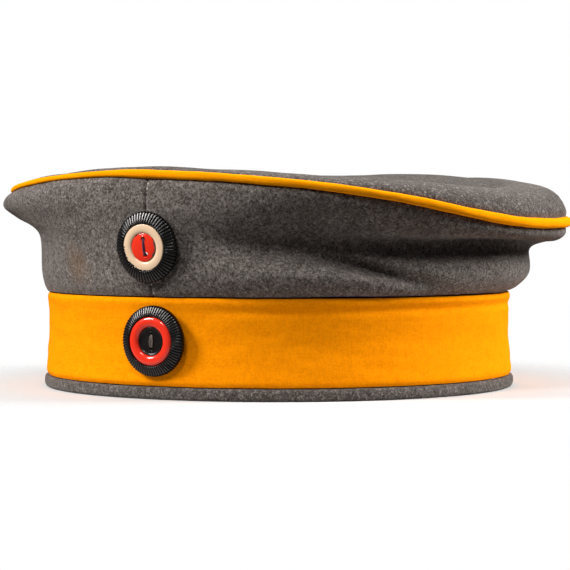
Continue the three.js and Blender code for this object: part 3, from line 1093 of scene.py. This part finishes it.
@dataclass
class Crown:
    """The crown: two side halves that meet at the seams, the round top and the piping."""

    plan: CapPlan
    wool: bpy.types.Material
    stained_wool: bpy.types.Material
    top_wool: bpy.types.Material
    yellow: bpy.types.Material
    roll: Roll = Roll()
    side_rows: int = 34
    top_rows: int = 22
    piping_rows: int = 12
    edge_tuck: float = 0.9 * MM
    tuck_reach: float = 1.1 * MM
    seam_depth: float = 0.65 * MM
    seam_reach: float = 0.6 * MM
    seam_gap: float = 0.16 * MM
    dip_angle: float = 78.0
    dip_wide: float = 34.0
    dip_in: float = 0.66
    dip_tall: float = 0.10
    dip_depth: float = 6.0 * MM
    side_length: float = 60 * MM
    edge_step: float = 0.5 * MM
    side_swellings: tuple = (Swelling(19 * MM, 3.1, 0.45 * MM), Swelling(8 * MM, 7.7, 0.12 * MM))
    top_swellings: tuple = (Swelling(24 * MM, 11.3, 0.7 * MM), Swelling(9 * MM, 5.9, 0.15 * MM))
    pucker_high: float = 0.25 * MM
    pucker_reach: float = 4 * MM

    def build(self) -> None:
        """Builds and dresses every piece of the crown."""
        self.sides()
        self.top()
        self.piping()

    def _tuck(self, distance: np.ndarray) -> np.ndarray:
        """How far the cloth is drawn in at a distance from a sewn edge."""
        return self.edge_tuck * np.exp(-((distance / self.tuck_reach) ** 2))

    def sides(self) -> None:
        """The two halves of the side."""
        plan = self.plan
        angles = plan.turn_steps(2.0, 0.35, 4.0)
        _, _, rim = plan.outline(angles)
        end = rim - plan.piping_reach(angles) * 0.9
        inner = np.linspace(0, 1, self.side_rows)[2:-2]
        share = close_ends(inner, self.edge_step / self.side_length)
        lengths = share[:, None] * end[None, :]
        points, normals = plan.along(angles, lengths)
        swell = unevenness(plan.round(angles, points), self.side_swellings)
        drawn = self._tuck(end - lengths) + 0.7 * self._tuck(lengths)
        aside = np.minimum(np.abs(turn_from(0, angles)), np.abs(turn_from(180, angles)))
        across = np.radians(aside)[None, :] * points[..., 0]
        drawn += self.seam_depth * np.exp(-((across / self.seam_reach) ** 2))
        pucker = self.pucker_high * np.exp(-((across / self.pucker_reach) ** 2))
        pucker *= np.sin(lengths / MM * 1.3)
        move = swell + pucker - drawn + self.roll.lift(angles, rim - lengths)
        points[..., 0] += normals[..., 0] * move - plan.fold_depth(angles[None, :], points[..., 1])
        points[..., 1] += normals[..., 1] * move
        whole = Bench.raise_wall("crown_side", plan.round(angles, points), Ending.OPEN)
        Bench.face_out(whole, plan.middle + Vector((0, 0, 0.06)))
        other = whole.copy()
        other.data = whole.data.copy()
        bpy.context.collection.objects.link(other)
        halves = ((whole, "crown_side_left", 1.0, self.wool),
                  (other, "crown_side_right", -1.0, self.stained_wool))
        for half, node, side, wool in halves:
            half.name = half.data.name = f"{node}_cloth"
            edge = (plan.middle.x + side * self.seam_gap / 2, plan.middle.y, 0.0)
            Bench.cut(half, edge, (side, 0.0, 0.0))
            Bench.thicken(half, plan.cloth, 1)
            Bench.stand_for(half, wool, "grey_wool", node)

    def top(self) -> None:
        """The round top."""
        plan = self.plan
        angles = np.arange(0, 360, 2.0)
        _, measured, rim = plan.outline(angles)
        start = rim + plan.piping_reach(angles) * 0.9
        whole = measured[:, -1] - 0.6 * MM
        share = np.concatenate([[0.0, 0.005, 0.013], np.linspace(0.03, 1, self.top_rows)])
        lengths = start[None, :] + share[:, None] * (whole - start)[None, :]
        points, normals = plan.along(angles, lengths)
        fade = np.clip((1 - share) * 6, 0, 1)[:, None]
        swell = unevenness(plan.round(angles, points), self.top_swellings)
        aside = turn_from(self.dip_angle, angles)[None, :]
        inward = points[..., 0] / points[:1, :, 0]
        dip = (aside / self.dip_wide) ** 2 + ((inward - self.dip_in) / self.dip_tall) ** 2
        swell -= self.dip_depth * np.exp(-dip / 2)
        move = swell * fade - self._tuck(lengths - start)
        points[..., 0] += normals[..., 0] * move
        points[..., 1] += normals[..., 1] * move
        top = Bench.raise_wall("crown_top_cloth", plan.round(angles, points), Ending.OPEN)
        Bench.face_out(top, plan.middle + Vector((0, 0, 0.02)))
        Bench.smooth(top, 1)
        Bench.close_hole(top, (plan.middle.x, plan.middle.y, points[-1, 0, 1]), 0.8 * MM)
        Bench.thicken(top, plan.cloth, 0)
        Bench.stand_for(top, self.top_wool, "grey_wool", "crown_top")

    def piping(self) -> None:
        """The yellow cord in the seam between side and top."""
        plan = self.plan
        angles = np.arange(0, 360, 1.5)
        _, _, rim = plan.outline(angles)
        points, normals = plan.along(angles, rim[None, :])
        centre = points[0] - normals[0] * plan.piping_sunk
        rows = []
        for turn in np.linspace(0, math.tau, self.piping_rows + 1):
            square = 1 - 0.05 * math.cos(4 * turn)
            radius = plan.piping_reach(angles) * square * (1 + self.piping_wave(angles, turn))
            rows.append(centre + np.stack(
                [radius * math.cos(turn), radius * math.sin(turn)], axis=-1))
        piping = Bench.raise_wall("piping_cord", plan.round(angles, np.array(rows)), Ending.LOOP)
        Bench.smooth(piping, 1)
        Bench.stand_for(piping, self.yellow, "yellow_cloth", "piping")

    @staticmethod
    def piping_wave(angles: np.ndarray, turn: float) -> np.ndarray:
        """The cord's unevenness.

        Args:
            angles: Degrees, one for each column.
            turn: The turn round the cord's own middle.

        Returns:
            The unevenness as a share of the cord's radius.
        """
        around = np.radians(angles)
        return 0.04 * np.sin(around * 23 + 2 * turn) + 0.03 * np.sin(around * 61 + turn) \
            + 0.02 * np.sin(around * 97 + 3 * turn)


@dataclass
class BandAndHem:
    """The yellow band and the narrow grey hem under it."""

    plan: CapPlan
    wool: bpy.types.Material
    yellow: bpy.types.Material
    wall: float = 2.4 * MM
    rows: int = 26
    edge_tuck: float = 0.9 * MM
    tuck_reach: float = 0.9 * MM
    hem_wall: float = 2.8 * MM
    hem_proud: float = 0.4 * MM
    crease_depth: float = 1.0 * MM
    crease_drop: float = 4.6 * MM
    crease_wave: float = 0.5 * MM
    crease_reach: float = 1.3 * MM
    edge_step: float = 0.55 * MM
    swellings: tuple = (Swelling(26 * MM, 1.7, 0.35 * MM), Swelling(7 * MM, 2.9, 0.08 * MM),
                        Swelling(15 * MM, 6.6, 0.22 * MM, 4.5))
    hem_swellings: tuple = (Swelling(14 * MM, 4.4, 0.16 * MM),)
    flare_stations: tuple = (0.0, 0.18, 0.5, 0.82, 1.0)
    flares: tuple = (0.9, 0.55, 0.05, 0.2, 0.7)

    def build(self) -> None:
        """Builds and dresses the band and the hem."""
        self.band()
        self.hem()

    def _flare(self, up: np.ndarray) -> np.ndarray:
        """The band's flare, smooth between its stations.

        Args:
            up: Shares of the band's height.

        Returns:
            The shares of the whole flare.
        """
        fine = np.linspace(-0.12, 1.12, 63)
        rough = np.interp(fine, self.flare_stations, self.flares)
        kernel = np.hanning(11)
        soft = np.convolve(rough, kernel / kernel.sum(), mode="same")
        return np.interp(up, fine, soft)

    def band(self) -> None:
        """The band."""
        plan = self.plan
        angles = np.arange(0, 360, 2.0)
        height = plan.band_top - plan.band_foot
        first = self.edge_step / height
        up = close_ends(np.linspace(4 * first, 1 - 4 * first, self.rows), first)
        radius = plan.waist_radius + plan.band_flare * self._flare(up)
        heights = plan.band_foot + up * height
        points = np.zeros((len(up), len(angles), 2))
        points[..., 0] = radius[:, None]
        points[..., 1] = heights[:, None]
        swell = unevenness(plan.round(angles, points), self.swellings)
        low, high = heights - plan.band_foot, plan.band_top - heights
        tuck = self.edge_tuck * (np.exp(-((low / self.tuck_reach) ** 2))
                                 + np.exp(-((high / self.tuck_reach) ** 2)))
        run = np.clip((angles - 8) / 18, 0, 1) * np.clip((128 - angles) / 25, 0, 1)
        drop = self.crease_drop + self.crease_wave * np.sin(np.radians(angles * 3))
        crease = self.crease_depth * run[None, :] * np.exp(
            -(((high[:, None] - drop[None, :]) / self.crease_reach) ** 2))
        points[..., 0] += swell - tuck[:, None] - crease
        band = Bench.raise_wall("band_cloth", plan.round(angles, points), Ending.OPEN)
        Bench.face_out(band, plan.middle + Vector((0, 0, 0.02)))
        Bench.thicken(band, self.wall, 1)
        Bench.stand_for(band, self.yellow, "yellow_cloth", "band")

    def hem(self) -> None:
        """The hem, a rolled strip with a flat foot."""
        plan = self.plan
        angles = np.arange(0, 360, 2.0)
        outside = plan.waist_radius + plan.band_flare * self.flares[0] + self.hem_proud
        inside = outside - self.hem_wall
        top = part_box("hem")[1][2]
        r = self.hem_wall / 2
        outline = [(inside + 0.4 * r, 0.0), (outside - 0.7 * r, 0.0), (outside - 0.25 * r, 0.2 * r),
                   (outside, 0.8 * r), (outside + 0.05 * r, top / 2), (outside, top - 0.6 * r),
                   (outside - 0.35 * r, top - 0.12 * r), (outside - 0.9 * r, top),
                   (inside + 0.2 * r, top), (inside, top - 0.3 * r), (inside, 0.4 * r)]
        points = np.repeat(np.array([*outline, outline[0]])[:, None, :], len(angles), axis=1)
        swell = unevenness(plan.round(angles, points), self.hem_swellings)
        swell[points[..., 1] < 0.01 * MM] = 0
        points[..., 0] += swell
        points[-1] = points[0]
        hem = Bench.raise_wall("hem_strip", plan.round(angles, points), Ending.LOOP)
        Bench.smooth(hem, 1)
        Bench.stand_for(hem, self.wool, "grey_wool", "hem")


# The cockades


class Face(Enum):
    """How a cockade's coloured face is shaped."""

    FLAT = "flat"
    ROUNDED = "rounded"


@dataclass(frozen=True)
class CockadeLook:
    """The finishes of one cockade, with the slots that they stand for."""

    rim: bpy.types.Material
    ring: bpy.types.Material
    ring_slot: str
    centre: bpy.types.Material
    centre_slot: str
    thread: bpy.types.Material
    thread_slot: str


@dataclass
class Cockade:
    """A pressed metal cockade: a ribbed rim, a ring, a centre and the thread that holds it.

    It is modelled flat, its back at the height 0, and then set on the cap's front.
    """

    name: str
    face: Face
    look: CockadeLook
    seat: Vector
    lean: float
    ribs: int
    steps_a_rib: int = 8
    rib_height: float = 0.30 * MM
    tooth: float = 0.5 * MM
    outer: float = 12.8 * MM
    rise: float = 3.2 * MM
    cone_rise: float = 1.8 * MM
    skirt: float = 0.0
    ring_outer: float = 8.5 * MM
    ring_inner: float = 5.3 * MM
    centre_sunk: float = 1.0 * MM
    plate: float = 1.0 * MM
    hole_deep: float = 1.0 * MM
    hole_wide: float = 0.72 * MM
    lip_high: float = 0.16 * MM
    lip_reach: float = 0.98 * MM
    lip_wide: float = 0.18 * MM

    def build(self) -> None:
        """Builds, dresses and seats the cockade's pieces."""
        pieces = (
            (self._rim(), "rim", self.look.rim, "black_lacquer"),
            (self._ring(), "ring", self.look.ring, self.look.ring_slot),
            (self._centre(), "centre", self.look.centre, self.look.centre_slot),
            (self._stitch(), "stitch", self.look.thread, self.look.thread_slot))
        for obj, part, material, slot in pieces:
            self._seat(obj)
            Bench.stand_for(obj, material, slot, f"{self.name}_{part}")

    def _seat(self, obj: bpy.types.Object) -> None:
        """Keeps a piece's own coordinates as an attribute and sets it on the front.

        Args:
            obj: The piece, modelled flat.
        """
        own = obj.data.attributes.new("local", "FLOAT_VECTOR", "POINT")
        own.data.foreach_set("vector", [c for v in obj.data.vertices for c in v.co])
        turn = Matrix.Rotation(math.pi / 2 + self.lean, 4, "X")
        obj.matrix_world = Matrix.Translation(self.seat) @ turn
        Bench.hold(obj)
        bpy.ops.object.transform_apply(location=True, rotation=True, scale=True)

    @staticmethod
    def _around(profile: np.ndarray, turns: np.ndarray) -> np.ndarray:
        """Turns profiles into places.

        Args:
            profile: Rows by columns by radius and height.
            turns: The turn of each column.

        Returns:
            Rows by columns by x, y and z.
        """
        x = profile[..., 0] * np.sin(turns)
        y = -profile[..., 0] * np.cos(turns)
        return np.stack([x, y, profile[..., 1] + 0 * x], axis=-1)

    def _turned(self, part: str, outline: Sequence[tuple[float, float]], columns: int,
                ending: Ending, shape: Callable | None = None) -> bpy.types.Object:
        """Turns an outline round the cockade's axis.

        Args:
            part: The piece's own name.
            outline: Radius and height of each ring, in millimetres.
            columns: How many points a ring has.
            ending: How the wall is closed.
            shape: Changes the places before they are raised.

        Returns:
            The turned piece.
        """
        turns = np.arange(columns) / columns * math.tau
        profile = np.repeat(np.array(outline)[:, None, :] * MM, columns, axis=1)
        if shape:
            profile = shape(profile, turns)
        rows = self._around(profile, turns[None, :])
        return Bench.raise_wall(f"{self.name}_{part}_lacquer", rows, ending)

    def _rim(self) -> bpy.types.Object:
        """The ribbed conical rim.

        Returns:
            The rim.
        """
        top, r0, r1 = self.rise / MM, self.ring_outer / MM, self.outer / MM
        cone = [(r1 + (r0 + 0.6 - r1) * t, top - 0.05 - self.cone_rise / MM * (1 - t) ** 1.15)
                for t in np.linspace(0, 1, 6)]
        back = -self.skirt / MM
        outline = [(4.0, 0.0), (r1 - 0.5, back), (r1 - 0.1, back + 0.12), (r1 + 0.05, 0.45),
                   (r1 + 0.02, 0.75), *cone, (r0 + 0.35, top + 0.03), (r0 + 0.12, top - 0.1),
                   (r0 + 0.1, 1.6), (r0 - 0.3, 1.0), (4.0, 1.0), (4.0, 0.0)]
        first, foot, last = 2, 5, 5 + len(cone)

        def ribbed(profile: np.ndarray, turns: np.ndarray) -> np.ndarray:
            """Raises the ribs.

            Args:
                profile: Rows by columns by radius and height.
                turns: The turn of each column.

            Returns:
                The profile with its ribs.
            """
            wave = np.abs(np.cos(turns * self.ribs / 2)) ** 0.5 - 0.6
            for k in range(first, last):
                if k <= foot:
                    profile[k, :, 0] += self.tooth * wave
                else:
                    fade = min(1.0, (last - k) / 1.5)
                    profile[k, :, 0] += self.rib_height * fade * wave * 0.5
                    profile[k, :, 1] += self.rib_height * fade * wave * 0.85
            return profile

        columns = self.ribs * self.steps_a_rib
        rim = self._turned("rim", outline, columns, Ending.LOOP, ribbed)
        Bench.smooth(rim, 1)
        return rim

    def _ring(self) -> bpy.types.Object:
        """The coloured ring, flat or rounded.

        Returns:
            The ring.
        """
        r0, r1, top = self.ring_inner / MM, self.ring_outer / MM, self.rise / MM
        foot = self.plate / MM + 0.15
        if self.face is Face.FLAT:
            outline = [(r0, foot), (r1, foot), (r1, top - 0.2), (r1 - 0.08, top - 0.04),
                       (r1 - 0.35, top + 0.03), (r1 - 1.2, top + 0.14), (r0 + 1.1, top + 0.14),
                       (r0 + 0.4, top - 0.06), (r0 + 0.12, top - 0.22), (r0, top - 0.5)]
        else:
            middle, half = (r0 + r1) / 2, (r1 - r0) / 2
            arc = [(middle + half * math.cos(t), top - 0.85 + 1.15 * math.sin(t))
                   for t in np.linspace(0, math.pi, 13)]
            outline = [(r0, foot), (r1, foot), *arc]
        ring = self._turned("ring", [*outline, outline[0]], 90, Ending.LOOP)
        Bench.smooth(ring, 1)
        return ring

    def _centre(self) -> bpy.types.Object:
        """The round centre, domed or sunk with a lip, with its two sewing holes.

        Returns:
            The centre.
        """
        reach, top = self.ring_inner / MM - 0.12, self.rise / MM
        foot = self.plate / MM + 0.15
        if self.face is Face.FLAT:
            face = top - 0.15
            rows = [(reach * math.cos(t), face - 0.35 + 0.62 * math.sin(t))
                    for t in np.linspace(0, math.pi / 2, 30)[:-1]]
            outline = [(0.1, foot), (reach, foot), *rows, (0.05, face + 0.27)]
        else:
            face = top - self.centre_sunk / MM
            outline = [(0.1, foot), (reach, foot), (reach, face + 0.25), (reach - 0.1, face + 0.42),
                       (reach - 0.35, face + 0.36), (reach - 0.55, face + 0.1),
                       (reach - 0.9, face), *[(r, face - 0.02) for r in np.linspace(3.9, 0.3, 22)],
                       (0.05, face - 0.02)]

        def holed(profile: np.ndarray, turns: np.ndarray) -> np.ndarray:
            """Sinks the sewing holes.

            Args:
                profile: Rows by columns by radius and height.
                turns: The turn of each column.

            Returns:
                The profile with its holes.
            """
            x, y, _ = np.moveaxis(self._around(profile, turns), -1, 0)
            for hole_x, hole_y in self.holes():
                away = np.hypot(x - hole_x, y - hole_y)
                dent = self.hole_deep * np.exp(-((away / self.hole_wide) ** 4))
                dent -= self.lip_high * np.exp(-(((away - self.lip_reach) / self.lip_wide) ** 2))
                profile[3:, :, 1] -= dent[3:]
            return profile

        centre = self._turned("centre", outline, 120, Ending.OPEN, holed)
        Bench.smooth(centre, 1)
        for level in (outline[0][1], outline[-1][1]):
            Bench.close_hole(centre, (0, 0, level * MM), 0.12 * MM)
        return centre

    def holes(self) -> tuple:
        """The places of the sewing holes.

        Returns:
            The x and y of the top hole and of the low one.
        """
        if self.face is Face.FLAT:
            return (0.1 * MM, 3.1 * MM), (0.7 * MM, -2.7 * MM)
        return (0.0, 2.3 * MM), (0.1 * MM, -2.4 * MM)

    def _stitch(self) -> bpy.types.Object:
        """The thread: plies twisted round each other between the two holes.

        Returns:
            The thread.
        """
        (top_x, top_y), (low_x, low_y) = self.holes()
        face = self.rise - (0.0 if self.face is Face.FLAT else self.centre_sunk)
        flat = self.face is Face.FLAT
        radius = (0.34 if flat else 0.22) * MM
        strands = []
        for ply, aside in enumerate((-0.26, 0.26) if flat else (-0.62, -0.22, 0.2, 0.58)):
            path = []
            for t in np.linspace(0, 1, 12):
                bow = 4 * t * (1 - t)
                wave = 0.12 * MM * math.sin(math.tau * (0.8 * t + 0.3 * ply))
                x = top_x + (low_x - top_x) * t + aside * MM * (0.35 + 0.65 * bow) + wave
                y = top_y + (low_y - top_y) * t
                z = face + (0.70 * bow ** 0.5 - 0.55 + 0.12 * math.cos(ply * 2.4)) * MM
                path.append((x, y, z))
            strands.append(Bench.strand(f"ply_{ply}", path, radius))
        stitch = Bench.join(f"{self.name}_thread", strands)
        Bench.smooth(stitch, 0)
        return stitch


def cockades() -> tuple[Cockade, Cockade]:
    """The two cockades, ready to be built.

    Returns:
        The upper and the lower cockade.
    """
    rims = [
        LacquerFinish(f"black_rim_{ribs}", (0.004, 0.0035, 0.0035), edge=20 * MM, grime=0.012,
                      rough=0.14, shine=0.12, coat=0.0, ribs=ribs).make() for ribs in (60, 72)]
    dip = LacquerFinish("black_centre", (0.008, 0.006, 0.006), edge=20 * MM, grime=0.06,
                        rough=0.3, shine=0.2, coat=0.1).make()
    cream = LacquerFinish("cream_ring", (0.86, 0.61, 0.40), edge=8.55 * MM, grime=0.2,
                          dust=(0.6, 0.4, 0.25), chip_side=(-0.75, -0.66, 0.0)).make()
    # The red centre carries a painted highlight beside its low sewing hole.
    red_dome = LacquerFinish("red_centre", (0.86, 0.035, 0.012), edge=5.2 * MM, grime=0.1,
                             under=(0.10, 0.05, 0.03), chip_side=(0.95, -0.2, 0.0),
                             painted_glint_spot=(1.35 * MM, -2.2 * MM, 0.0)).make()
    red_ring = LacquerFinish("red_ring", (0.83, 0.032, 0.012), edge=20 * MM, grime=0.08).make()
    dark = ThreadFinish("dark_thread", (0.045, 0.004, 0.028)).make()
    grey = ThreadFinish("grey_thread", (0.085, 0.066, 0.054)).make()
    upper = Cockade(
        "upper_cockade", Face.FLAT,
        CockadeLook(rims[0], cream, "cream_lacquer", red_dome, "red_lacquer", dark, "dark_thread"),
        Vector((-1.9, -101.712, 55.509)) * MM, math.asin(0.10129), 60)
    lower = Cockade(
        "lower_cockade", Face.ROUNDED,
        CockadeLook(rims[1], red_ring, "red_lacquer", dip, "black_lacquer", grey, "grey_thread"),
        Vector((-1.2, -98.617, 21.2)) * MM, math.asin(0.01465), 72, ring_outer=9.0 * MM,
        cone_rise=1.5 * MM, skirt=0.65 * MM)
    return upper, lower


# The studio


@dataclass(frozen=True)
class Lamp:
    """A soft square light: its turn to the camera's right, its place, its side and its watts."""

    name: str
    turn: float
    distance: float
    height: float
    size: float
    power: float


@dataclass
class Studio:
    """The pale floor, the soft lights and the camera."""

    plan: CapPlan
    lamps: tuple = (
        Lamp("left_box", -75, 0.95, 0.75, 0.42, 18.3),
        Lamp("right_box", 88, 0.85, 0.58, 0.42, 16.5),
        Lamp("front_strip", -20, 0.75, 0.84, 0.22, 4.0),
        Lamp("back_box", 165, 0.7, 1.0, 0.6, 1.0))
    aim_height: float = 40 * MM
    floor_size: float = 1.2
    view_turn: float = 30.0
    eye_height: float = 65 * MM
    eye_distance: float = 881 * MM
    focal_pixels: float = 2202.0
    image_pixels: float = 570.0
    aside_pixels: float = 6.0
    drop_pixels: float = 64.5
    sensor: float = 36.0
    room_light: float = 0.07
    backdrop: float = 1.0

    def build(self) -> None:
        """Sets up everything round the cap."""
        self.floor()
        self.lights()
        self.camera()

    def floor(self) -> None:
        """A plain pale floor under the cap."""
        Bench.clear()
        bpy.ops.mesh.primitive_plane_add(size=self.floor_size, location=(0, 0, -0.0002))
        floor = bpy.context.object
        floor.name = "floor"
        bpy.ops.object.transform_apply(location=True, rotation=True, scale=True)
        Bench.dress(floor, FloorFinish().make())

    def _stand(self, turn: float, distance: float, height: float) -> Vector:
        """A place round the cap.

        Args:
            turn: Degrees from the camera's side, to the camera's right.
            distance: How far off it is.
            height: How high it is.

        Returns:
            The place.
        """
        bearing = math.radians(self.view_turn + turn)
        aside = Vector((math.sin(bearing) * distance, -math.cos(bearing) * distance, height))
        return self.plan.middle + aside

    def _light(self, lamp: Lamp) -> None:
        """Sets up one lamp, facing the cap.

        Args:
            lamp: The lamp.
        """
        light = bpy.data.lights.new(lamp.name, "AREA")
        light.shape = "SQUARE"
        light.size = lamp.size
        light.energy = lamp.power
        stand = bpy.data.objects.new(lamp.name, light)
        bpy.context.collection.objects.link(stand)
        stand.location = self._stand(lamp.turn, lamp.distance, lamp.height)
        aim = self.plan.middle + Vector((0, 0, self.aim_height)) - stand.location
        stand.rotation_mode = "QUATERNION"
        stand.rotation_quaternion = aim.to_track_quat("-Z", "Y")

    def lights(self) -> None:
        """The lamps, dim surroundings and the white backdrop that the camera sees."""
        for lamp in self.lamps:
            self._light(lamp)
        world = bpy.data.worlds.new("pale_room")
        bpy.context.scene.world = world
        world.use_nodes = True
        nodes, links = world.node_tree.nodes, world.node_tree.links
        seen = nodes.new("ShaderNodeLightPath")
        strength = nodes.new("ShaderNodeMapRange")
        strength.inputs["To Min"].default_value = self.room_light
        strength.inputs["To Max"].default_value = self.backdrop
        links.new(seen.outputs["Is Camera Ray"], strength.inputs["Value"])
        background = nodes["Background"]
        background.inputs["Color"].default_value = (1.0, 1.0, 1.0, 1.0)
        links.new(strength.outputs["Result"], background.inputs["Strength"])
        bpy.context.scene.view_settings.view_transform = "Standard"

    def camera(self) -> None:
        """A long lens at the photograph's angle, just above the floor."""
        data = bpy.data.cameras.new("camera")
        data.sensor_width = self.sensor
        data.lens = self.sensor * self.focal_pixels / self.image_pixels
        data.clip_start = 0.01
        data.clip_end = 50.0
        camera = bpy.data.objects.new("camera", data)
        bpy.context.collection.objects.link(camera)
        camera.location = self._stand(0.0, self.eye_distance, self.eye_height)
        down = math.atan(self.drop_pixels / self.focal_pixels)
        right = math.atan(self.aside_pixels / self.focal_pixels)
        camera.rotation_euler = (math.pi / 2 - down, 0.0, math.radians(self.view_turn) - right)
        bpy.context.scene.camera = camera


def main() -> None:
    """Builds the cap's pieces in order, then the studio."""
    logging.basicConfig(level=logging.INFO, format="%(relativeCreated)6d %(message)s")
    plan = CapPlan()
    middle = tuple(plan.middle)
    seamed = WoolFinish("grey_wool_seamed", middle=middle, stitch_side=1.0).make()
    stained = WoolFinish("grey_wool_stained", stain_spot=(-0.0400, -0.0919, 0.0485)).make()
    # Painted shade: the crown top and the hem take a darker copy of the same grey wool, so that
    # they read as shaded, not as a different cloth.
    painted_shade_body = (0.104, 0.089, 0.081)
    topped = WoolFinish("grey_wool_top", body=painted_shade_body, middle=middle, painted_field_shade=0.45).make()
    hemmed = WoolFinish("grey_wool_hem", body=painted_shade_body).make()
    yellow = YellowClothFinish().make()
    Studio(plan).build()
    BandAndHem(plan, hemmed, yellow).build()
    cord = YellowClothFinish(
        "yellow_cord", (1.0, 0.345, 0.001), (0.96, 0.29, 0.001), (1.0, 0.41, 0.003)).make()
    Crown(plan, seamed, stained, topped, cord).build()
    for cockade in cockades():
        cockade.build()


if __name__ == "__main__":
    main()
